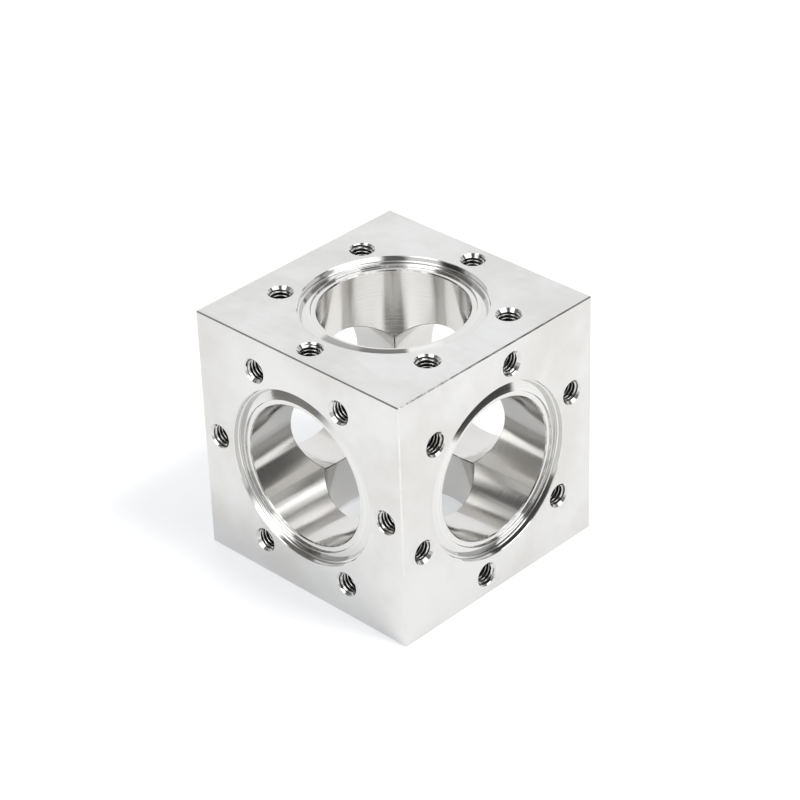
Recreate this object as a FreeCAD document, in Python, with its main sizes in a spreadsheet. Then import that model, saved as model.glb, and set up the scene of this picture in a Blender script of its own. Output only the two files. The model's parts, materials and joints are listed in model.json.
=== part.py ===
import FreeCAD, Part

# A six-way vacuum chamber: a cube turned and drilled from one block of stainless steel.
# Each face is a knife-edge port with six tapped holes, and three equal bores cross at the centre.
# The frame's origin is the middle of the cube's underside, with +Z up. All lengths are in millimetres.

import math
import os

import Sketcher

# The driving dimensions. Depths are measured inwards from a face of the cube.
SIZES = {
    "cube_edge": 70.0,
    "outer_edge_break": 0.3,
    # The port: the ridge that bites into the gasket, and what is on either side of it.
    "knife_diameter": 41.9,
    "knife_depth": 0.7,
    "knife_slope_angle": 20.0,
    "gasket_width": 3.2,
    "land_width": 1.65,
    "land_depth": 1.33,
    "bore_edge_break": 0.3,
    # The tapped holes, as drilled for an M6 thread.
    "bolt_circle": 58.7,
    "bolt_count": 6,
    "tap_drill": 5.0,
    "tap_depth": 10.5,
    "mouth_diameter": 6.8,
    "mouth_angle": 90.0,
    # Where the first tapped hole lies on each pair of faces, counted from the face's level axis.
    "x_first_hole_angle": 20.0,
    "y_first_hole_angle": 0.0,
    "z_first_hole_angle": 90.0,
}

HALF_CUBE = "Sizes.cube_edge / 2"
KNIFE_RADIUS = "Sizes.knife_diameter / 2"
RECESS_RADIUS = KNIFE_RADIUS + " + Sizes.gasket_width"
BORE_RADIUS = KNIFE_RADIUS + " - Sizes.land_width"

# For each axis: the plane that holds the port's section, and the plane across the axis, which
# carries the holes and mirrors both.
AXES = {
    "x": ("XY_Plane", "YZ_Plane"),
    "y": ("XY_Plane", "XZ_Plane"),
    "z": ("XZ_Plane", "XY_Plane"),
}

# The turn, in degrees, that lays the section's own vertical along the axis.
SECTION_TURN_ANGLE = {"x": -90.0, "y": 0.0, "z": 0.0}


def make_sheet(doc):
    """Write the driving dimensions, one to a row, with the name beside the number."""
    sheet = doc.addObject("Spreadsheet::Sheet", "Sizes")
    for row, (name, value) in enumerate(SIZES.items(), start=1):
        sheet.set(f"A{row}", name)
        sheet.set(f"B{row}", str(value))
        sheet.setAlias(f"B{row}", name)
    doc.recompute()
    return sheet


def origin_plane(body, role):
    """Find one of the body's own origin planes."""
    for feature in body.Origin.OriginFeatures:
        if feature.Role == role:
            return feature
    raise ValueError("no origin plane " + role)


def new_sketch(body, name, role):
    """Start a sketch that lies on one of the body's origin planes."""
    sketch = body.newObject("Sketcher::SketchObject", name)
    sketch.AttachmentSupport = [(origin_plane(body, role), "")]
    sketch.MapMode = "FlatFace"
    return sketch


def add_dimension(sketch, kind, references, value, name, expression):
    """Add a dimension, name it, and bind it to the sheet."""
    index = sketch.addConstraint(Sketcher.Constraint(kind, *references, value))
    sketch.renameConstraint(index, name)
    sketch.setExpression("Constraints." + name, expression)


def add_block(doc, body):
    """Pad a square about the origin, both ways, and break the block's twelve edges."""
    half = SIZES["cube_edge"] / 2
    corners = [(-half, -half), (half, -half), (half, half), (-half, half)]
    sketch = new_sketch(body, "square", "XY_Plane")
    draw_outline(sketch, corners)
    for line, kind in enumerate(["Horizontal", "Vertical", "Horizontal", "Vertical"]):
        sketch.addConstraint(Sketcher.Constraint(kind, line))
    sketch.addConstraint(Sketcher.Constraint("Symmetric", 0, 1, 1, 2, -1, 1))
    add_dimension(sketch, "Distance", (0,), 2 * half, "width", "Sizes.cube_edge")
    add_dimension(sketch, "Distance", (1,), 2 * half, "depth", "Sizes.cube_edge")

    pad = body.newObject("PartDesign::Pad", "block")
    pad.Profile = sketch
    pad.SideType = "Symmetric"
    pad.setExpression("Length", "Sizes.cube_edge")
    doc.recompute()

    chamfer = body.newObject("PartDesign::Chamfer", "outer_edges")
    chamfer.Base = (pad, [f"Edge{number}" for number in range(1, len(pad.Shape.Edges) + 1)])
    chamfer.setExpression("Size", "Sizes.outer_edge_break")
    doc.recompute()


def draw_outline(sketch, points):
    """Draw a closed outline of straight lines, each joined to the next."""
    count = len(points)
    for index in range(count):
        start = FreeCAD.Vector(*points[index], 0)
        end = FreeCAD.Vector(*points[(index + 1) % count], 0)
        sketch.addGeometry(Part.LineSegment(start, end), False)
    for index in range(count):
        sketch.addConstraint(Sketcher.Constraint("Coincident", index, 2, (index + 1) % count, 1))


def draw_port_section(sketch):
    """Draw half of a port's section: from the cube's centre out to the face, right of the axis."""
    half = SIZES["cube_edge"] / 2
    knife = SIZES["knife_diameter"] / 2
    recess = knife + SIZES["gasket_width"]
    bore = knife - SIZES["land_width"]
    land = half - SIZES["land_depth"]
    tip = half - SIZES["knife_depth"]
    foot = tip - SIZES["gasket_width"] * math.tan(math.radians(SIZES["knife_slope_angle"]))
    bore_break = SIZES["bore_edge_break"]
    draw_outline(sketch, [
        (0, 0),
        (bore, 0),
        (bore, land - bore_break),
        (bore + bore_break, land),
        (knife, land),
        (knife, tip),
        (recess, foot),
        (recess, half),
        (0, half),
    ])
    sketch.addConstraint(Sketcher.Constraint("Coincident", 0, 1, -1, 1))
    for level_line in (0, 3, 7):
        sketch.addConstraint(Sketcher.Constraint("Horizontal", level_line))
    for upright_line in (1, 4, 6, 8):
        sketch.addConstraint(Sketcher.Constraint("Vertical", upright_line))
    origin = (-1, 1)
    across = [
        ("bore_radius", 1, bore, BORE_RADIUS),
        ("bore_break_radius", 3, bore + bore_break, BORE_RADIUS + " + Sizes.bore_edge_break"),
        ("knife_radius", 4, knife, KNIFE_RADIUS),
        ("recess_radius", 6, recess, RECESS_RADIUS),
    ]
    for name, line, value, expression in across:
        add_dimension(sketch, "DistanceX", origin + (line, 1), value, name, expression)
    along = [
        ("bore_end", 2, land - bore_break, " - Sizes.land_depth - Sizes.bore_edge_break"),
        ("land_level", 3, land, " - Sizes.land_depth"),
        ("knife_level", 5, tip, " - Sizes.knife_depth"),
        ("face_level", 7, half, ""),
    ]
    for name, line, value, tail in along:
        add_dimension(sketch, "DistanceY", origin + (line, 1), value, name, HALF_CUBE + tail)
    slope = math.radians(-SIZES["knife_slope_angle"])
    add_dimension(sketch, "Angle", (5,), slope, "knife_slope", "-Sizes.knife_slope_angle * 1 deg")


def add_port_pair(doc, body, axis):
    """Turn the bore and both ports on one axis."""
    section_plane, mirror_plane = AXES[axis]
    section = new_sketch(body, f"port_section_{axis}", section_plane)
    turn = FreeCAD.Rotation(FreeCAD.Vector(0, 0, 1), SECTION_TURN_ANGLE[axis])
    section.AttachmentOffset = FreeCAD.Placement(FreeCAD.Vector(), turn)
    draw_port_section(section)
    doc.recompute()

    volume_before = body.Tip.Shape.Volume
    groove = body.newObject("PartDesign::Groove", f"port_{axis}")
    groove.Profile = section
    groove.ReferenceAxis = (section, ["V_Axis"])
    groove.Angle = 360.0
    doc.recompute()
    require_cut(volume_before, groove)

    volume_before = groove.Shape.Volume
    mirrored = body.newObject("PartDesign::Mirrored", f"opposite_port_{axis}")
    mirrored.Originals = [groove]
    mirrored.MirrorPlane = (origin_plane(body, mirror_plane), [""])
    body.Tip = mirrored
    doc.recompute()
    require_cut(volume_before, mirrored)


def add_tapped_holes(doc, body, axis):
    """Drill and countersink one hole, then repeat it round the port and on the opposite face."""
    face_plane = AXES[axis][1]
    centre = new_sketch(body, f"first_hole_{axis}", face_plane)
    centre.setExpression("AttachmentOffset.Base.z", HALF_CUBE)
    centre.setExpression("AttachmentOffset.Rotation.Angle", f"Sizes.{axis}_first_hole_angle * 1 deg")
    radius = SIZES["bolt_circle"] / 2
    drill = SIZES["tap_drill"] / 2
    mark = Part.Circle(FreeCAD.Vector(radius, 0, 0), FreeCAD.Vector(0, 0, 1), drill)
    centre.addGeometry(mark, False)
    centre.addConstraint(Sketcher.Constraint("PointOnObject", 0, 3, -1))
    add_dimension(centre, "DistanceX", (-1, 1, 0, 3), radius, "circle_radius", "Sizes.bolt_circle / 2")
    add_dimension(centre, "Radius", (0,), drill, "drill_radius", "Sizes.tap_drill / 2")
    doc.recompute()

    volume_before = body.Tip.Shape.Volume
    hole = body.newObject("PartDesign::Hole", f"tapped_hole_{axis}")
    hole.Profile = centre
    doc.recompute()
    hole.ThreadType = "None"
    hole.DepthType = "Dimension"
    hole.DrillPoint = "Flat"
    hole.HoleCutType = "Countersink"
    hole.HoleCutCustomValues = True
    hole.setExpression("Diameter", "Sizes.tap_drill")
    hole.setExpression("Depth", "Sizes.tap_depth")
    hole.setExpression("HoleCutDiameter", "Sizes.mouth_diameter")
    hole.setExpression("HoleCutCountersinkAngle", "Sizes.mouth_angle * 1 deg")
    doc.recompute()
    require_cut(volume_before, hole)

    volume_before = hole.Shape.Volume
    everywhere = body.newObject("PartDesign::MultiTransform", f"tapped_holes_{axis}")
    everywhere.Originals = [hole]
    ring = body.newObject("PartDesign::PolarPattern", f"hole_ring_{axis}")
    ring.Axis = (centre, ["N_Axis"])
    ring.Angle = 360.0
    ring.setExpression("Occurrences", "Sizes.bolt_count")
    mirrored = body.newObject("PartDesign::Mirrored", f"opposite_holes_{axis}")
    mirrored.MirrorPlane = (origin_plane(body, face_plane), [""])
    everywhere.Transformations = [ring, mirrored]
    body.Tip = everywhere
    doc.recompute()
    require_cut(volume_before, everywhere)


def require_cut(volume_before, feature):
    """Stop if a cut has taken nothing away."""
    if feature.Shape.Volume > volume_before - 1e-3:
        raise RuntimeError(feature.Name + " cut nothing")


def make_chamber_body(doc):
    """Build the chamber about its own centre, then stand it on the origin."""
    body = doc.addObject("PartDesign::Body", "chamber_body")
    body.Label = "chamber_body"
    add_block(doc, body)
    for axis in AXES:
        add_port_pair(doc, body, axis)
    for axis in AXES:
        add_tapped_holes(doc, body, axis)
    body.setExpression("Placement.Base.z", HALF_CUBE)
    doc.recompute()
    return body


def check_document(doc, parts):
    """Stop if anything failed to recompute, or if a part has no sound solid."""
    for item in doc.Objects:
        if "Invalid" in item.State or "Error" in item.State:
            raise RuntimeError(item.Name + " failed: " + str(item.State))
    for part in parts:
        if part.Shape.isNull() or not part.Shape.isValid() or len(part.Shape.Solids) != 1:
            raise RuntimeError(part.Label + " is not one sound solid")


def main():
    doc = FreeCAD.newDocument("vacuum_chamber")
    make_sheet(doc)
    parts = [make_chamber_body(doc)]
    check_document(doc, parts)
    os.makedirs("parts", exist_ok=True)
    for part in parts:
        part.Shape.exportStep("parts/" + part.Label + ".step")
        print(part.Label, "volume", round(part.Shape.Volume, 2), "box", part.Shape.BoundBox)


main()
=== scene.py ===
import json
import math
from typing import NamedTuple

import bpy
import numpy as np
from mathutils import Matrix, Vector, geometry


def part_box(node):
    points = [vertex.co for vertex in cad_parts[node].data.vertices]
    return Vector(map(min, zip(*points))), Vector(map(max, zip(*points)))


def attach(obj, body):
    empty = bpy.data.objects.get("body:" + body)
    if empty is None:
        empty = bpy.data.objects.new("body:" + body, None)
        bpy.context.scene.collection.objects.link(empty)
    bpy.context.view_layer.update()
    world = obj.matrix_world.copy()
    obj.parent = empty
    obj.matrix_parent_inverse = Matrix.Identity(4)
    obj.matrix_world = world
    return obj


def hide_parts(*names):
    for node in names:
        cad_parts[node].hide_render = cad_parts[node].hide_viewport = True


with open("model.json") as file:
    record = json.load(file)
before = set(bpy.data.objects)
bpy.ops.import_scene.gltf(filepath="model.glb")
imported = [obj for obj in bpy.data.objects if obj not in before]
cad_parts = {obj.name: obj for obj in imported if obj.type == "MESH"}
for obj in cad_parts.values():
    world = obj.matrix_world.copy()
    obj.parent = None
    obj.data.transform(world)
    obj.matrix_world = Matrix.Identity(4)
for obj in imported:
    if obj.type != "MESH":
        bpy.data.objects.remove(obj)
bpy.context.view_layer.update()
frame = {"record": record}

# A six-way vacuum chamber cut from one block of stainless steel. Everything is in metres.
# The frame's solid is redrawn here as one closed mesh with the true normals of its turned and
# milled surfaces, and with what the solid leaves out: threads, drill points, and the smallest
# edge breaks and fillets.

MM = 0.001

# What the frame gives: the cube, the bores and the rings of tapped holes.
CUBE_LOW, CUBE_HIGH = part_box("chamber_body")
HALF = (CUBE_HIGH.x - CUBE_LOW.x) / 2
CENTRE = (CUBE_LOW + CUBE_HIGH) / 2
MOUNTS = {mount["name"]: mount for mount in frame["record"]["mounts"]}
BORE_RADIUS = MOUNTS["top_port_bore"]["dims"]["r_mm"] * MM
BOLT_CIRCLE_RADIUS = MOUNTS["top_bolts"]["dims"]["pcd_mm"] * MM / 2
BOLT_COUNT = MOUNTS["top_bolts"]["dims"]["count"]
CREST_RADIUS = MOUNTS["top_bolts"]["dims"]["hole_r_mm"] * MM

# The outer edges, and the edges where the bores meet.
OUTER_BREAK = 0.3 * MM
CROSSING_BREAK = 0.2 * MM

# The port's section, as depths below the face and radii from the axis.
RECESS_RADIUS = 24.15 * MM
RECESS_BREAK = 0.18 * MM
RECESS_FILLET = 0.4 * MM
KNIFE_RADIUS = 20.95 * MM
KNIFE_DEPTH = 0.7 * MM
KNIFE_SLOPE = math.radians(20)
KNIFE_ROUNDING = 0.1 * MM
LAND_DEPTH = 1.33 * MM
LAND_FILLET = 0.15 * MM
BORE_BREAK = 0.3 * MM

# The tapped holes: M6 with a 1 mm pitch, countersunk, and drilled to a point.
THREAD_PITCH = 1.0 * MM
FLANK_ANGLE = math.radians(30)
ROOT_RADIUS = 3.0 * MM
CREST_WIDTH = THREAD_PITCH / 4
CREST_ROUNDING = 0.18 * MM
MOUTH_RADIUS = 3.4 * MM
THREAD_END = 6.0 * MM
DRILL_END = 10.5 * MM
DRILL_POINT = 1.5 * MM

# Each hole's thread starts this share of a turn on from the one before it.
THREAD_START_STEP = 0.382

# How finely each surface is divided.
ROUND_STEPS = 192
BORE_ROWS = 6
PORT_ARC_STEPS = 4
HOLE_STEPS = 30
THREAD_ARC_STEPS = 2

# Allowances for rounding: the step that corners are joined on, the digits of a thread's depth,
# how near two points of a flat's outline are one, and how far out a point of a ring may lie.
JOIN_STEP = 2e-7
DEPTH_DIGITS = 9
MERGE_DISTANCE = 1e-9
RING_SLACK = 1.0001

# The kinds of surface, in the order of the mesh's materials.
FLAT, EDGE, PORT, BORE, THREAD, SEAM = range(6)

# The values that the mesh stores at its corners for the materials.
LAY = "lay"
# The groove also sets the painted shade in the tapped holes.
GROOVE = "groove"

# Each face of the cube, as its own across, up and outward directions, and the angle in degrees
# of its first tapped hole from across towards up.
FACES = {
    "top": ((1, 0, 0), (0, 1, 0), (0, 0, 1), 90),
    "bottom": ((1, 0, 0), (0, -1, 0), (0, 0, -1), 90),
    "front": ((1, 0, 0), (0, 0, 1), (0, -1, 0), 0),
    "back": ((-1, 0, 0), (0, 0, 1), (0, 1, 0), 0),
    "right": ((0, 1, 0), (0, 0, 1), (1, 0, 0), 20),
    "left": ((0, -1, 0), (0, 0, 1), (-1, 0, 0), -20),
}

# Nearly all of a noise pattern's values lie between these two.
NOISE_LOW = 0.3
NOISE_HIGH = 0.7

# The room, as radiance: what the steel shows of it, and what the camera sees in its place.
ROOM = (0.29, 0.285, 0.28)
BACKGROUND = (1, 1, 1)

# The floor: half its width, its own colour, and the glow that it adds to the light on it.
FLOOR_HALF_SIZE = 3.0
FLOOR_COLOUR = (0.5, 0.5, 0.5)
FLOOR_GLOW = (0.95, 0.97, 1)
FLOOR_GLOW_STRENGTH = 0.47

# The slightly warm light of the lamp that draws the shadow.
FLOOR_LAMP_COLOUR = (1, 0.95, 0.88)

# The camera, as solved from the cube's corners in the photograph. Its lens and its sensor are
# in millimetres.
CAMERA_SPOT = Vector((0.4171, -0.4193, 0.4129))
CAMERA_AIM = Vector((-0.0015, 0.0026, 0.0396))
CAMERA_ROLL = math.radians(-1.99)
CAMERA_LENS = 123.18
SENSOR_WIDTH = 36.0


class Skin:
    """Gathers faces, each corner with its own place and normal, and joins them into one mesh."""

    def __init__(self):
        self.corners = []
        self.normals = []
        self.zones = []
        self.lays = []
        self.grooves = []

    def add_faces(self, corners, normals, zone, lay=(0, 0, 0), groove=0.0):
        """Add faces given as arrays of faces by corners by three; triangles repeat a corner.
        The lay is the way that a turned surface's highlights stretch, square to its grooves.
        The groove says how far down a thread's groove each corner is, from 0 to 1."""
        self.corners.append(np.asarray(corners, float))
        self.normals.append(np.asarray(normals, float))
        self.zones.append(np.full(len(corners), zone))
        self.lays.append(np.broadcast_to(lay, self.corners[-1].shape))
        self.grooves.append(np.broadcast_to(groove, self.corners[-1].shape[:2]))

    def add_grid(self, points, normals, zone, lay=(0, 0, 0), groove=0.0):
        """Add the four-sided faces between the rows and columns of a grid of points."""
        lays = grid_cells(np.broadcast_to(lay, points.shape))
        grooves = grid_cells(np.broadcast_to(groove, points.shape[:2])[..., None])[..., 0]
        self.add_faces(grid_cells(points), grid_cells(normals), zone, lays, grooves)

    def build(self, name):
        """Join equal points, drop faces with no area, and set every corner's normal."""
        corners = np.concatenate(self.corners).reshape(-1, 3)
        keys = np.round(corners / JOIN_STEP).astype(np.int64)
        _, first, index = np.unique(keys, axis=0, return_index=True, return_inverse=True)
        faces, numbers, kept = faces_with_area(index.reshape(-1, 4).tolist())
        mesh = bpy.data.meshes.new(name)
        mesh.from_pydata(corners[first].tolist(), [], faces)
        mesh.polygons.foreach_set("material_index", np.concatenate(self.zones)[numbers].tolist())
        mesh.shade_smooth()
        normals = np.concatenate(self.normals).reshape(-1, 3)[kept]
        normals /= np.linalg.norm(normals, axis=1, keepdims=True)
        mesh.normals_split_custom_set(normals)
        lay = mesh.attributes.new(LAY, "FLOAT_VECTOR", "CORNER")
        lay.data.foreach_set("vector", np.concatenate(self.lays).reshape(-1, 3)[kept].ravel())
        groove = mesh.attributes.new(GROOVE, "FLOAT", "CORNER")
        groove.data.foreach_set("value", np.concatenate(self.grooves).reshape(-1)[kept])
        return mesh


def faces_with_area(face_points):
    """Leave out each face's repeated points, and the faces that have fewer than three. It gives
    the points of each face that stays, its number, and the numbers of its corners."""
    faces, numbers, corners = [], [], []
    for number, points in enumerate(face_points):
        kept = [k for k in range(4) if points[k] != points[k - 1]]
        if len({points[k] for k in kept}) < 3:
            continue
        faces.append([points[k] for k in kept])
        numbers.append(number)
        corners.extend(number * 4 + k for k in kept)
    return faces, numbers, corners


def grid_cells(grid):
    """Turn a grid of rows by columns by values into cells by four corners by values."""
    cells = np.stack([grid[:-1, :-1], grid[:-1, 1:], grid[1:, 1:], grid[1:, :-1]], axis=2)
    return cells.reshape(-1, 4, grid.shape[-1])


class Place:
    """Lays local points, as across, up and outward from the cube's centre, into the frame."""

    def __init__(self, across, up, outward):
        self.axes = np.array([across, up, outward], float)
        self.centre = np.array(CENTRE)

    def points(self, local):
        return np.asarray(local) @ self.axes + self.centre

    def directions(self, local):
        return np.asarray(local) @ self.axes


class Row(NamedTuple):
    """A row of a section: its radius and depth, then the normals, as radial and outward parts,
    of the band that ends there and of the band that starts there."""

    spot: tuple
    ending: tuple
    starting: tuple


def bands(section):
    """Each band of a section, as the spot and the normal at its start and at its end."""
    for start, end in zip(section[:-1], section[1:]):
        yield (start.spot, start.starting), (end.spot, end.ending)


def band_normal(start, end):
    """The normal of the band between two points of a section, on the side of the open port."""
    radius_step, depth_step = end - start
    length = math.hypot(radius_step, depth_step)
    return (-depth_step / length, -radius_step / length)


def rounded_section(corners, steps):
    """The rows of a section given as corners: radius, depth and the radius of the arc that
    rounds the corner, or 0. The two ends stay as they are."""
    points = [np.array(corner[:2]) for corner in corners]
    normals = [band_normal(start, end) for start, end in zip(points[:-1], points[1:])]
    last = len(corners) - 1
    rows = []
    for number, (radius, depth, rounding) in enumerate(corners):
        ending = normals[max(number - 1, 0)]
        starting = normals[min(number, last - 1)]
        if rounding and 0 < number < last:
            rows.extend(rounded_corner(points[number - 1:number + 2], rounding, ending, starting, steps))
        else:
            rows.append(Row((radius, depth), ending, starting))
    return rows


def rounded_corner(points, rounding, ending, starting, steps):
    """The rows along an arc that rounds the middle one of three points."""
    before, corner, after = points
    to_before = (before - corner) / np.linalg.norm(before - corner)
    to_after = (after - corner) / np.linalg.norm(after - corner)
    half_angle = math.acos(float(np.clip(to_before @ to_after, -1, 1))) / 2
    reach = rounding / math.tan(half_angle)
    middle = to_before + to_after
    hub = corner + middle / np.linalg.norm(middle) * rounding / math.sin(half_angle)
    first = corner + to_before * reach - hub
    last = corner + to_after * reach - hub
    sweep = math.pi - 2 * half_angle
    rows = []
    for step in range(steps + 1):
        spoke = swing(first, last, sweep, step / steps)
        normal = swing(np.array(ending), np.array(starting), sweep, step / steps)
        normal = tuple(normal / np.linalg.norm(normal))
        rows.append(Row(tuple(hub + spoke), normal, normal))
    return rows


def swing(first, last, sweep, share):
    """The vector a share of the way round from the first to the last, which are a sweep apart."""
    return (math.sin((1 - share) * sweep) * first + math.sin(share * sweep) * last) / math.sin(sweep)


def turn_angles():
    """The angles of a full turn, with the first repeated at the end."""
    angles = np.linspace(0, 2 * math.pi, ROUND_STEPS + 1)
    angles[-1] = 0
    return angles


def port_section():
    """The port from its mouth in the face down to the top of the bore."""
    foot_depth = KNIFE_DEPTH + (RECESS_RADIUS - KNIFE_RADIUS) * math.tan(KNIFE_SLOPE)
    return rounded_section([
        (RECESS_RADIUS + RECESS_BREAK, 0, 0),
        (RECESS_RADIUS, RECESS_BREAK, 0),
        (RECESS_RADIUS, foot_depth, RECESS_FILLET),
        (KNIFE_RADIUS, KNIFE_DEPTH, KNIFE_ROUNDING),
        (KNIFE_RADIUS, LAND_DEPTH, LAND_FILLET),
        (BORE_RADIUS + BORE_BREAK, LAND_DEPTH, 0),
        (BORE_RADIUS, LAND_DEPTH + BORE_BREAK, 0),
    ], PORT_ARC_STEPS)


def port_zone(start, end):
    """A band of the port is a seam at the foot of the land and along the broken edge of the bore."""
    radius = (start[0] + end[0]) / 2
    depth = (start[1] + end[1]) / 2
    at_foot = KNIFE_RADIUS - LAND_FILLET < radius < KNIFE_RADIUS and depth > LAND_DEPTH - LAND_FILLET
    at_break = radius < BORE_RADIUS + BORE_BREAK
    return SEAM if at_foot or at_break else PORT


def add_port(skin, place):
    """The port's section, turned about its axis."""
    angles = turn_angles()
    around = np.column_stack([np.cos(angles), np.sin(angles)])
    for (start, start_normal), (end, end_normal) in bands(port_section()):
        rows = np.array([turned(around, radius, HALF - depth) for radius, depth in (start, end)])
        normals = np.array([turned(around, *normal) for normal in (start_normal, end_normal)])
        lay = rows[1] - rows[0]
        lay /= np.linalg.norm(lay, axis=1, keepdims=True)
        skin.add_grid(place.points(rows), place.directions(normals), port_zone(start, end),
                      place.directions(lay))


def turned(around, radial, outward):
    """One radial and one outward value, turned about the axis."""
    return np.column_stack([around * radial, np.full(len(around), outward)])


def add_bore(skin, place):
    """The bore's wall, from the port down to the curve where it meets the other two bores."""
    angles = turn_angles()
    cos, sin = np.cos(angles), np.sin(angles)
    top = HALF - LAND_DEPTH - BORE_BREAK
    low = BORE_RADIUS * np.maximum(abs(cos), abs(sin)) + CROSSING_BREAK
    rows = [np.column_stack([BORE_RADIUS * cos, BORE_RADIUS * sin, top + (low - top) * share])
            for share in np.linspace(0, 1, BORE_ROWS + 1)]
    normals = np.broadcast_to(np.column_stack([-cos, -sin, 0 * cos]), (BORE_ROWS + 1, len(cos), 3))
    skin.add_grid(place.points(np.array(rows)), place.directions(normals), BORE,
                  place.directions((0, 0, 1)))


def cube_edges():
    """The cube's twelve edges: the axis that each runs along, then the other two axes and the
    sides of the centre, 1 or -1, that it lies on along them."""
    for axis in range(3):
        for first_side in (1, -1):
            for second_side in (1, -1):
                yield axis, (axis + 1) % 3, (axis + 2) % 3, first_side, second_side


def add_corner_facets(skin, inset, width, zone, facing):
    """The facet at each of eight corners, where three breaks of the same width meet. It faces
    away from the cube's centre where facing is 1, and towards it where facing is -1."""
    for sides in np.array(np.meshgrid((1, -1), (1, -1), (1, -1))).T.reshape(-1, 3):
        tips = [(inset + width * np.eye(3)[axis]) * sides + np.array(CENTRE) for axis in range(3)]
        if np.prod(sides) * facing < 0:
            tips = tips[::-1]
        skin.add_faces([[*tips, tips[2]]], [[facing * sides] * 4], zone)


def add_crossing_breaks(skin):
    """The narrow bevels along the curves where two bores meet, and a facet where three do."""
    quarter = np.linspace(-math.pi / 4, math.pi / 4, ROUND_STEPS // 4 + 1)
    along, out = BORE_RADIUS * np.sin(quarter), BORE_RADIUS * np.cos(quarter)
    for axis, first, second, first_side, second_side in cube_edges():
        rows = np.zeros((2, len(quarter), 3))
        rows[:, :, axis] = along
        rows[:, :, first] = first_side * (out + np.array([[CROSSING_BREAK], [0]]))
        rows[:, :, second] = second_side * (out + np.array([[0], [CROSSING_BREAK]]))
        normals = np.zeros((2, len(quarter), 3))
        normals[:, :, axis] = -2 * np.sin(quarter)
        normals[:, :, first] = -first_side * np.cos(quarter)
        normals[:, :, second] = -second_side * np.cos(quarter)
        if first_side * second_side < 0:
            rows, normals = rows[::-1], normals[::-1]
        skin.add_grid(rows + np.array(CENTRE), normals, SEAM)
    add_corner_facets(skin, BORE_RADIUS / math.sqrt(2), CROSSING_BREAK, SEAM, facing=-1)


def add_outer_edges(skin):
    """The cube's twelve broken edges and eight corners."""
    inset = HALF - OUTER_BREAK
    for axis, first, second, first_side, second_side in cube_edges():
        rows = np.zeros((2, 2, 3))
        rows[:, :, axis] = (-inset, inset)
        rows[:, :, first] = first_side * np.array([[HALF], [inset]])
        rows[:, :, second] = second_side * np.array([[inset], [HALF]])
        if first_side * second_side > 0:
            rows = rows[::-1]
        normal = np.zeros(3)
        normal[first] = first_side
        normal[second] = second_side
        skin.add_grid(rows + np.array(CENTRE), np.broadcast_to(normal, (2, 2, 3)), EDGE)
    add_corner_facets(skin, inset, OUTER_BREAK, EDGE, facing=1)


def thread_section():
    """The thread along its depth, with the crests rounded as a tap and wear leave them."""
    flank = (ROOT_RADIUS - CREST_RADIUS) * math.tan(FLANK_ANGLE)
    root_width = THREAD_PITCH - CREST_WIDTH - 2 * flank
    corners = []
    for turn in range(-1, math.ceil(THREAD_END / THREAD_PITCH) + 2):
        depth = turn * THREAD_PITCH
        corners.append((CREST_RADIUS, depth, CREST_ROUNDING))
        corners.append((CREST_RADIUS, depth + CREST_WIDTH, CREST_ROUNDING))
        corners.append((ROOT_RADIUS, depth + CREST_WIDTH + flank, 0))
        corners.append((ROOT_RADIUS, depth + CREST_WIDTH + flank + root_width, 0))
    return rounded_section(corners, THREAD_ARC_STEPS)


def drill_section():
    """The plain hole below the thread, down to the drill's point."""
    return rounded_section([
        (CREST_RADIUS, THREAD_END, 0),
        (CREST_RADIUS, DRILL_END, 0),
        (0, DRILL_END + DRILL_POINT, 0),
    ], THREAD_ARC_STEPS)


def hole_angles(start_turn):
    """The angles round a tapped hole, with the first repeated at the end."""
    angles = 2 * math.pi * (np.linspace(0, 1, HOLE_STEPS + 1) + start_turn)
    angles[-1] = angles[0]
    return angles


def add_tapped_hole(skin, place, across, up, start_turn):
    """A countersunk blind hole with a right-handed thread, drilled to a point."""
    angles = hole_angles(start_turn)
    for section, threaded in ((thread_section(), True), (drill_section(), False)):
        for band in bands(section):
            rings = [hole_ring(angles, spot, normal, threaded) for spot, normal in band]
            points, normals, grooves = (np.array(part) for part in zip(*rings))
            skin.add_grid(place.points(points + (across, up, 0)), place.directions(normals), THREAD,
                          groove=grooves)


def hole_ring(angles, spot, normal, threaded):
    """One turn of a row of the hole's wall: its points, their normals, and how far down the
    groove each one is. A row of the thread rises by the pitch in its turn, its normals lean
    with the rise, and where the countersink cuts wider it follows that. Below the thread, all
    of the wall counts as groove."""
    rise = THREAD_PITCH if threaded else 0
    depth = np.round(spot[1] - np.linspace(0, rise, len(angles)), DEPTH_DIGITS)
    radius = np.full(len(angles), float(spot[0]))
    radial = np.full(len(angles), float(normal[0]))
    outward = np.full(len(angles), float(normal[1]))
    lean = np.zeros(len(angles))
    # Below the thread the whole wall counts as groove, so it takes the full painted shade.
    groove = np.ones(len(angles))
    if threaded:
        groove = (radius - CREST_RADIUS) / (ROOT_RADIUS - CREST_RADIUS)
        radius[depth >= THREAD_END] = CREST_RADIUS
        depth = np.clip(depth, 0, THREAD_END)
        cut = MOUTH_RADIUS - depth >= radius
        radius[cut] = MOUTH_RADIUS - depth[cut]
        radial[cut] = -1
        outward[cut] = 1
        groove[cut] = 0
        lean = np.where(cut, 0, -outward * THREAD_PITCH / (2 * math.pi * radius))
    cos, sin = np.cos(angles), np.sin(angles)
    points = np.column_stack([radius * cos, radius * sin, HALF - depth])
    normals = np.column_stack([radial * cos - lean * sin, radial * sin + lean * cos, outward])
    return points, normals, groove


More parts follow.
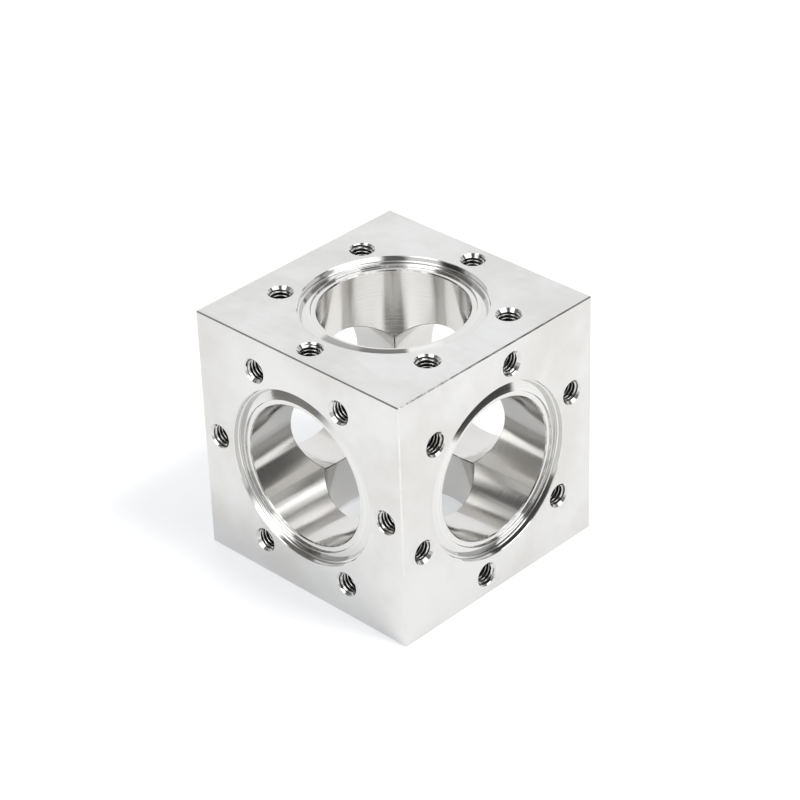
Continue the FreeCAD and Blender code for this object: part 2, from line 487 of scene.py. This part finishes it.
def add_face(skin, place, holes):
    """The flat of one face, round its port and its tapped holes."""
    side = HALF - OUTER_BREAK
    rings = [(0.0, 0.0, RECESS_RADIUS + RECESS_BREAK, turn_angles()[:-1])]
    for across, up, start_turn in holes:
        rings.append((across, up, MOUTH_RADIUS, hole_angles(start_turn)[:-1]))
    loops = [np.array([(-side, -side), (side, -side), (side, side), (-side, side)])]
    for across, up, radius, angles in rings:
        loops.append(np.column_stack([across + radius * np.cos(angles), up + radius * np.sin(angles)]))
    kept = []
    for tips in triangles_between(loops):
        if not any(inside_ring(tips, ring) for ring in rings):
            kept.append([(*tip, HALF) for tip in (*tips, tips[2])])
    local = np.array(kept)
    normals = np.broadcast_to([0.0, 0.0, 1.0], local.shape)
    skin.add_faces(place.points(local), place.directions(normals), FLAT)


def triangles_between(loops):
    """The triangles that fill the first loop, cut along the edges of all the loops."""
    spots = np.concatenate(loops)
    edges, base = [], 0
    for loop in loops:
        edges.extend((base + k, base + (k + 1) % len(loop)) for k in range(len(loop)))
        base += len(loop)
    whole_hull = 0
    _, _, triangles, sources, _, _ = geometry.delaunay_2d_cdt(
        [Vector(spot) for spot in spots], edges, [], whole_hull, MERGE_DISTANCE)
    return [spots[[sources[k][0] for k in triangle]] for triangle in triangles]


def inside_ring(tips, ring):
    """Whether all the tips lie on a ring or inside it."""
    across, up, radius, _ = ring
    return np.all(np.hypot(*(tips - (across, up)).T) < radius * RING_SLACK)


def make_chamber():
    """The whole chamber as one closed mesh."""
    skin = Skin()
    for number, (across, up, outward, first_hole) in enumerate(FACES.values()):
        place = Place(across, up, outward)
        holes = tapped_holes(number, first_hole)
        add_face(skin, place, holes)
        add_port(skin, place)
        add_bore(skin, place)
        for hole in holes:
            add_tapped_hole(skin, place, *hole)
    add_crossing_breaks(skin)
    add_outer_edges(skin)
    mesh = skin.build("machined_chamber")
    chamber = add_object("machined_chamber", mesh)
    for make_steel in (ground_steel, edge_steel, turned_steel, bored_steel, tapped_steel, shaded_seam_steel):
        mesh.materials.append(make_steel())
    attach(chamber, "root")
    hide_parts("chamber_body")


def tapped_holes(face_number, first_hole):
    """A face's tapped holes: where each one is, across and up, and the share of a turn that its
    thread starts at."""
    holes = []
    for number in range(BOLT_COUNT):
        angle = math.radians(first_hole) + 2 * math.pi * number / BOLT_COUNT
        across = BOLT_CIRCLE_RADIUS * math.cos(angle)
        up = BOLT_CIRCLE_RADIUS * math.sin(angle)
        start_turn = ((face_number * BOLT_COUNT + number) * THREAD_START_STEP) % 1
        holes.append((across, up, start_turn))
    return holes


def add_object(name, data):
    """A new object in the scene."""
    added = bpy.data.objects.new(name, data)
    bpy.context.scene.collection.objects.link(added)
    return added


def square_mesh(name, half_size):
    """One flat square, level and centred."""
    mesh = bpy.data.meshes.new(name)
    spots = ((-1, -1), (1, -1), (1, 1), (-1, 1))
    mesh.from_pydata([(half_size * x, half_size * y, 0) for x, y in spots], [], [(0, 1, 2, 3)])
    return mesh


class NodeMaterial:
    """A new material, with its nodes and their links."""

    def __init__(self, name):
        self.material = bpy.data.materials.new(name)
        self.material.use_nodes = True
        self.nodes = self.material.node_tree.nodes
        self.links = self.material.node_tree.links

    def add_range(self, source, to_low, to_high, low=NOISE_LOW, high=NOISE_HIGH):
        """Map the source smoothly, from the range low to high onto the range to_low to to_high."""
        values = self.nodes.new("ShaderNodeMapRange")
        values.interpolation_type = "SMOOTHSTEP"
        values.inputs["From Min"].default_value = low
        values.inputs["From Max"].default_value = high
        values.inputs["To Min"].default_value = to_low
        values.inputs["To Max"].default_value = to_high
        self.links.new(source, values.inputs["Value"])
        return values.outputs["Result"]


class Steel(NodeMaterial):
    """A bare steel. Its patterns are laid in the chamber's own space, so they stay with it."""

    NOISE_ROUGHNESS = 0.6

    def __init__(self, name):
        super().__init__(name)
        self.shader = self.nodes["Principled BSDF"]
        self.shader.inputs["Metallic"].default_value = 1
        self.place = self.nodes.new("ShaderNodeTexCoord").outputs["Object"]

    def add_noise(self, scale, detail, stretch=(1, 1, 1)):
        """A noise pattern, drawn out along an axis where its share of the stretch is small."""
        spread = self.nodes.new("ShaderNodeVectorMath")
        spread.operation = "MULTIPLY"
        spread.inputs[1].default_value = stretch
        noise = self.nodes.new("ShaderNodeTexNoise")
        noise.inputs["Scale"].default_value = scale
        noise.inputs["Detail"].default_value = detail
        noise.inputs["Roughness"].default_value = self.NOISE_ROUGHNESS
        self.links.new(self.place, spread.inputs[0])
        self.links.new(spread.outputs["Vector"], noise.inputs["Vector"])
        return noise.outputs["Fac"]

    def add_lines(self, scale, detail):
        """Fine lines that run round every port and bore. All of a circle about one of the three
        axes is equally far from the cube's centre, so that distance alone sets the pattern."""
        distance = self.nodes.new("ShaderNodeVectorMath")
        distance.operation = "DISTANCE"
        distance.inputs[1].default_value = CENTRE
        lines = self.nodes.new("ShaderNodeTexNoise")
        lines.noise_dimensions = "1D"
        lines.inputs["Scale"].default_value = scale
        lines.inputs["Detail"].default_value = detail
        self.links.new(self.place, distance.inputs[0])
        self.links.new(distance.outputs["Value"], lines.inputs["W"])
        return lines.outputs["Fac"]

    def set_colour(self, share, first, last):
        """A base colour that runs from the first to the last with the share."""
        tint = self.nodes.new("ShaderNodeMix")
        tint.data_type = "RGBA"
        tint.inputs["A"].default_value = (*first, 1)
        tint.inputs["B"].default_value = (*last, 1)
        self.links.new(share, tint.inputs["Factor"])
        self.links.new(tint.outputs["Result"], self.shader.inputs["Base Color"])

    def set_roughness(self, source, smooth, rough, low=NOISE_LOW, high=NOISE_HIGH):
        """A roughness that runs from smooth to rough as the source runs from low to high."""
        self.links.new(self.add_range(source, smooth, rough, low, high), self.shader.inputs["Roughness"])

    def set_relief(self, height, depth):
        """A relief as deep as given, in metres."""
        bump = self.nodes.new("ShaderNodeBump")
        bump.inputs["Distance"].default_value = depth
        self.links.new(height, bump.inputs["Height"])
        self.links.new(bump.outputs["Normal"], self.shader.inputs["Normal"])

    def stretch_highlights(self, amount):
        """Stretch the highlights along the lay that the mesh stores."""
        lay = self.nodes.new("ShaderNodeAttribute")
        lay.attribute_name = LAY
        turn = self.nodes.new("ShaderNodeVectorTransform")
        turn.vector_type = "VECTOR"
        turn.convert_from = "OBJECT"
        turn.convert_to = "WORLD"
        self.links.new(lay.outputs["Vector"], turn.inputs["Vector"])
        self.links.new(turn.outputs["Vector"], self.shader.inputs["Tangent"])
        self.shader.inputs["Anisotropic"].default_value = amount


def ground_steel():
    """The fine-milled flats: a little cloudy, with faint marks from the last pass."""
    steel = Steel("ground_steel")
    clouds = steel.add_noise(scale=34, detail=4)
    marks = steel.add_noise(scale=700, detail=2, stretch=(0.12, 0.9, 0.9))
    cloudiness = steel.add_range(clouds, 0, 1, low=0.34, high=0.66)
    steel.set_colour(cloudiness, (0.605, 0.601, 0.586), (0.685, 0.687, 0.682))
    steel.set_roughness(marks, 0.18, 0.27)
    steel.set_relief(marks, 0.005 * MM)
    return steel.material


def edge_steel():
    """The broken edges: polished by handling, and uneven from small knocks."""
    steel = Steel("edge_steel")
    knocks = steel.add_noise(scale=330, detail=3)
    steel.set_colour(knocks, (0.58, 0.58, 0.57), (0.8, 0.8, 0.79))
    steel.set_roughness(knocks, 0.06, 0.16)
    steel.set_relief(knocks, 0.03 * MM)
    return steel.material


def turned_steel():
    """The ports' turned steps, with the fine lines of the tool."""
    steel = Steel("turned_steel")
    steel.stretch_highlights(0.7)
    lines = steel.add_lines(scale=5000, detail=3)
    steel.set_colour(lines, (0.59, 0.59, 0.58), (0.74, 0.74, 0.73))
    steel.set_roughness(lines, 0.06, 0.11)
    steel.set_relief(lines, 0.002 * MM)
    return steel.material


def bored_steel():
    """The bores' walls, almost a mirror across the grooves, and slightly uneven in tone."""
    steel = Steel("bored_steel")
    steel.stretch_highlights(0.95)
    lines = steel.add_lines(scale=3000, detail=4)
    clouds = steel.add_noise(scale=60, detail=3)
    steel.set_colour(clouds, (0.59, 0.58, 0.558), (0.7, 0.694, 0.68))
    steel.set_roughness(lines, 0.13, 0.2)
    steel.set_relief(lines, 0.001 * MM)
    return steel.material


def tapped_steel():
    """The threads, smooth on the crests, with painted shade down in the grooves and in the plain hole
    below.
    """
    steel = Steel("tapped_steel")
    mottle = steel.add_noise(scale=900, detail=3)
    depth = steel.nodes.new("ShaderNodeAttribute")
    depth.attribute_name = GROOVE
    uneven_depth = steel.nodes.new("ShaderNodeMath")
    uneven_depth.operation = "ADD"
    steel.links.new(steel.add_range(mottle, -0.25, 0.25), uneven_depth.inputs[0])
    steel.links.new(depth.outputs["Fac"], uneven_depth.inputs[1])
    # Painted shade, deeper towards each groove's root and uneven; the steel grows rougher with it too.
    groove_shade = uneven_depth.outputs["Value"]
    shade_share = steel.add_range(groove_shade, 0, 1, low=0.1, high=1)
    steel.set_colour(shade_share, (0.62, 0.62, 0.61), (0.14, 0.137, 0.126))
    steel.set_roughness(groove_shade, 0.06, 0.2, low=0, high=1)
    steel.set_relief(mottle, 0.01 * MM)
    return steel.material


def shaded_seam_steel():
    """The narrow inner edges and the land's inner corner, dulled by deburring, with painted shade along
    them that is deeper in patches.
    """
    steel = Steel("shaded_seam_steel")
    mottle = steel.add_noise(scale=400, detail=3)
    steel.set_colour(steel.add_range(mottle, 0, 1), (0.2, 0.197, 0.19), (0.54, 0.535, 0.52))
    steel.set_roughness(mottle, 0.14, 0.3)
    steel.set_relief(mottle, 0.02 * MM)
    return steel.material


def card_light(name, radiance, edge):
    """A material that only shines, with the same radiance whichever way it is seen. Over the
    edge, a share of the card's half size, it clears to what is behind the card."""
    card = NodeMaterial(name)
    card.nodes.clear()
    glow = card.nodes.new("ShaderNodeEmission")
    glow.inputs["Color"].default_value = (*radiance, 1)
    clear = card.nodes.new("ShaderNodeBsdfTransparent")
    mix = card.nodes.new("ShaderNodeMixShader")
    output = card.nodes.new("ShaderNodeOutputMaterial")
    clearness = card.add_range(rim_share(card), 0, 1, low=1 - edge, high=1)
    card.links.new(clearness, mix.inputs["Fac"])
    card.links.new(glow.outputs["Emission"], mix.inputs[1])
    card.links.new(clear.outputs["BSDF"], mix.inputs[2])
    card.links.new(mix.outputs["Shader"], output.inputs["Surface"])
    return card.material


def rim_share(card):
    """How far out on the card a point is, from 0 in its middle to 1 at its rim."""
    place = card.nodes.new("ShaderNodeTexCoord")
    size = card.nodes.new("ShaderNodeVectorMath")
    size.operation = "ABSOLUTE"
    parts = card.nodes.new("ShaderNodeSeparateXYZ")
    outermost = card.nodes.new("ShaderNodeMath")
    outermost.operation = "MAXIMUM"
    card.links.new(place.outputs["Object"], size.inputs[0])
    card.links.new(size.outputs["Vector"], parts.inputs["Vector"])
    card.links.new(parts.outputs["X"], outermost.inputs[0])
    card.links.new(parts.outputs["Y"], outermost.inputs[1])
    return outermost.outputs["Value"]


def direction(azimuth, elevation):
    """The unit vector at two angles in degrees: round from the frame's X axis, and above the
    horizon."""
    turn, rise = math.radians(azimuth), math.radians(elevation)
    return Vector((math.cos(turn) * math.cos(rise), math.sin(turn) * math.cos(rise), math.sin(rise)))


def add_card(name, azimuth, elevation, half_size, distance, radiance, tilted=False, edge=0.2,
             lights_floor=True):
    """A flat card in the studio, out of the camera's sight. Its angles are in degrees as seen
    from the chamber: round from the frame's X axis, above the horizon, and half its width and
    height. A tilted card faces the chamber, and the others stand upright. A card that doesn't
    light the floor shows in the steel alone."""
    half_width, half_height = (math.radians(angle) for angle in half_size)
    level = direction(azimuth, 0)
    side = Vector((0, 0, 1)).cross(level)
    ahead = direction(azimuth, elevation) if tilted else level
    rise = 0 if tilted else math.radians(elevation)
    low, high = math.tan(rise - half_height), math.tan(rise + half_height)
    up = ahead.cross(side)
    middle = CENTRE + (ahead + up * (low + high) / 2) * distance
    mesh = square_mesh(name, 1)
    mesh.materials.append(card_light(name, radiance, edge))
    card = add_object(name, mesh)
    axes = Matrix((side * math.tan(half_width) * distance, up * (high - low) / 2 * distance, ahead))
    card.matrix_world = Matrix.Translation(middle) @ axes.transposed().to_4x4()
    card.visible_camera = False
    card.visible_diffuse = lights_floor
    card.visible_shadow = lights_floor


def add_floor_lamp(azimuth, elevation, distance, size, power):
    """A soft lamp that only the floor takes in, and that draws the chamber's faint shadow."""
    data = bpy.data.lights.new("floor_lamp", "AREA")
    data.size = size
    data.energy = power
    data.color = FLOOR_LAMP_COLOUR
    ahead = direction(azimuth, elevation)
    lamp = add_object("floor_lamp", data)
    aim = ahead.to_track_quat("Z", "Y").to_matrix().to_4x4()
    lamp.matrix_world = Matrix.Translation(CENTRE + ahead * distance) @ aim
    lamp.visible_glossy = False


def make_studio():
    """Two softboxes, a lit backdrop and darker cards in a dim room, as the steel shows them.
    The numbers of a card are its azimuth, elevation, half size, distance and radiance."""
    add_card("left_softbox", -86, 34, (22, 32), 1.2, (3.1, 3.1, 3.15), tilted=True, edge=0.45)
    add_card("upper_left", -108, 63, (16, 11), 1.5, (1.4, 1.4, 1.4), tilted=True, edge=0.35)
    add_card("right_softbox", 21, 52, (21, 26), 1.2, (2.5, 2.5, 2.55), tilted=True, edge=0.25)
    add_card("upper_right", 54, 53, (10, 6), 1.15, (2.6, 2.6, 2.55), edge=0.4)
    add_card("overhead", 50, 76, (33, 9), 1.6, (1.3, 1.3, 1.3), tilted=True, edge=0.3)
    add_card("backdrop", 135, 31, (52, 34), 1.4, (1.17, 1.17, 1.18), edge=0.1)
    add_card("upper_back", 163, 55, (20, 10), 1.35, (0.6, 0.6, 0.6))
    add_card("front_card", -52, 20, (26, 27), 1.5, (0.76, 0.76, 0.76))
    add_card("upper_front", -53, 60, (26, 10), 1.3, (0.12, 0.12, 0.12), edge=0.3)
    add_card("left_card", -166, 21, (18, 27), 1.5, (0.63, 0.63, 0.63))
    add_card("upper_gap", -153, 50, (19, 10), 1.3, (0.05, 0.05, 0.05), edge=0.3)
    add_card("left_gap", -127, 18, (12, 24), 1.45, (0.28, 0.27, 0.25))
    add_card("right_card", 69, 25, (11, 33), 1.6, (0.8, 0.8, 0.8))
    add_card("right_gap", 52, 21, (14, 23), 1.5, (0.35, 0.34, 0.33))
    add_card("high_gap", 60, 41, (15, 8), 1.3, (0.16, 0.16, 0.16), edge=0.3)
    add_card("low_gap", -2, 9, (16, 15), 1.45, (0.1, 0.1, 0.1))
    add_card("left_flag", -132, -2.3, (23, 5), 0.36, (0.26, 0.25, 0.24), edge=0.4, lights_floor=False)
    add_card("right_flag", 28, 11, (20, 18), 0.36, (0.08, 0.08, 0.08), lights_floor=False)
    add_floor_lamp(azimuth=18, elevation=60, distance=1.2, size=0.3, power=11.5)


def make_floor():
    """A plain pale floor that also glows, which keeps the shadow on it faint."""
    mesh = square_mesh("floor", FLOOR_HALF_SIZE)
    floor = add_object("floor", mesh)
    white = NodeMaterial("floor_white")
    shader = white.nodes["Principled BSDF"]
    shader.inputs["Base Color"].default_value = (*FLOOR_COLOUR, 1)
    shader.inputs["Roughness"].default_value = 1
    shader.inputs["Specular IOR Level"].default_value = 0
    shader.inputs["Emission Color"].default_value = (*FLOOR_GLOW, 1)
    shader.inputs["Emission Strength"].default_value = FLOOR_GLOW_STRENGTH
    mesh.materials.append(white.material)


def make_room():
    """The dim room round the studio, which the camera sees as white."""
    world = bpy.data.worlds.new("room")
    world.use_nodes = True
    nodes, links = world.node_tree.nodes, world.node_tree.links
    room = nodes["Background"]
    room.inputs["Color"].default_value = (*ROOM, 1)
    seen = nodes.new("ShaderNodeBackground")
    seen.inputs["Color"].default_value = (*BACKGROUND, 1)
    path = nodes.new("ShaderNodeLightPath")
    choice = nodes.new("ShaderNodeMixShader")
    links.new(path.outputs["Is Camera Ray"], choice.inputs["Fac"])
    links.new(room.outputs["Background"], choice.inputs[1])
    links.new(seen.outputs["Background"], choice.inputs[2])
    links.new(choice.outputs["Shader"], nodes["World Output"].inputs["Surface"])
    bpy.context.scene.world = world


def add_camera():
    """The camera at the photograph's angle."""
    data = bpy.data.cameras.new("camera")
    data.lens = CAMERA_LENS
    data.sensor_width = SENSOR_WIDTH
    camera = add_object("camera", data)
    level = (CAMERA_AIM - CAMERA_SPOT).to_track_quat("-Z", "Y").to_matrix()
    roll = Matrix.Rotation(CAMERA_ROLL, 3, "Z")
    camera.matrix_world = Matrix.Translation(CAMERA_SPOT) @ (level @ roll).to_4x4()
    bpy.context.scene.camera = camera


make_chamber()
make_floor()
make_studio()
make_room()
add_camera()
bpy.context.scene.view_settings.view_transform = "Standard"
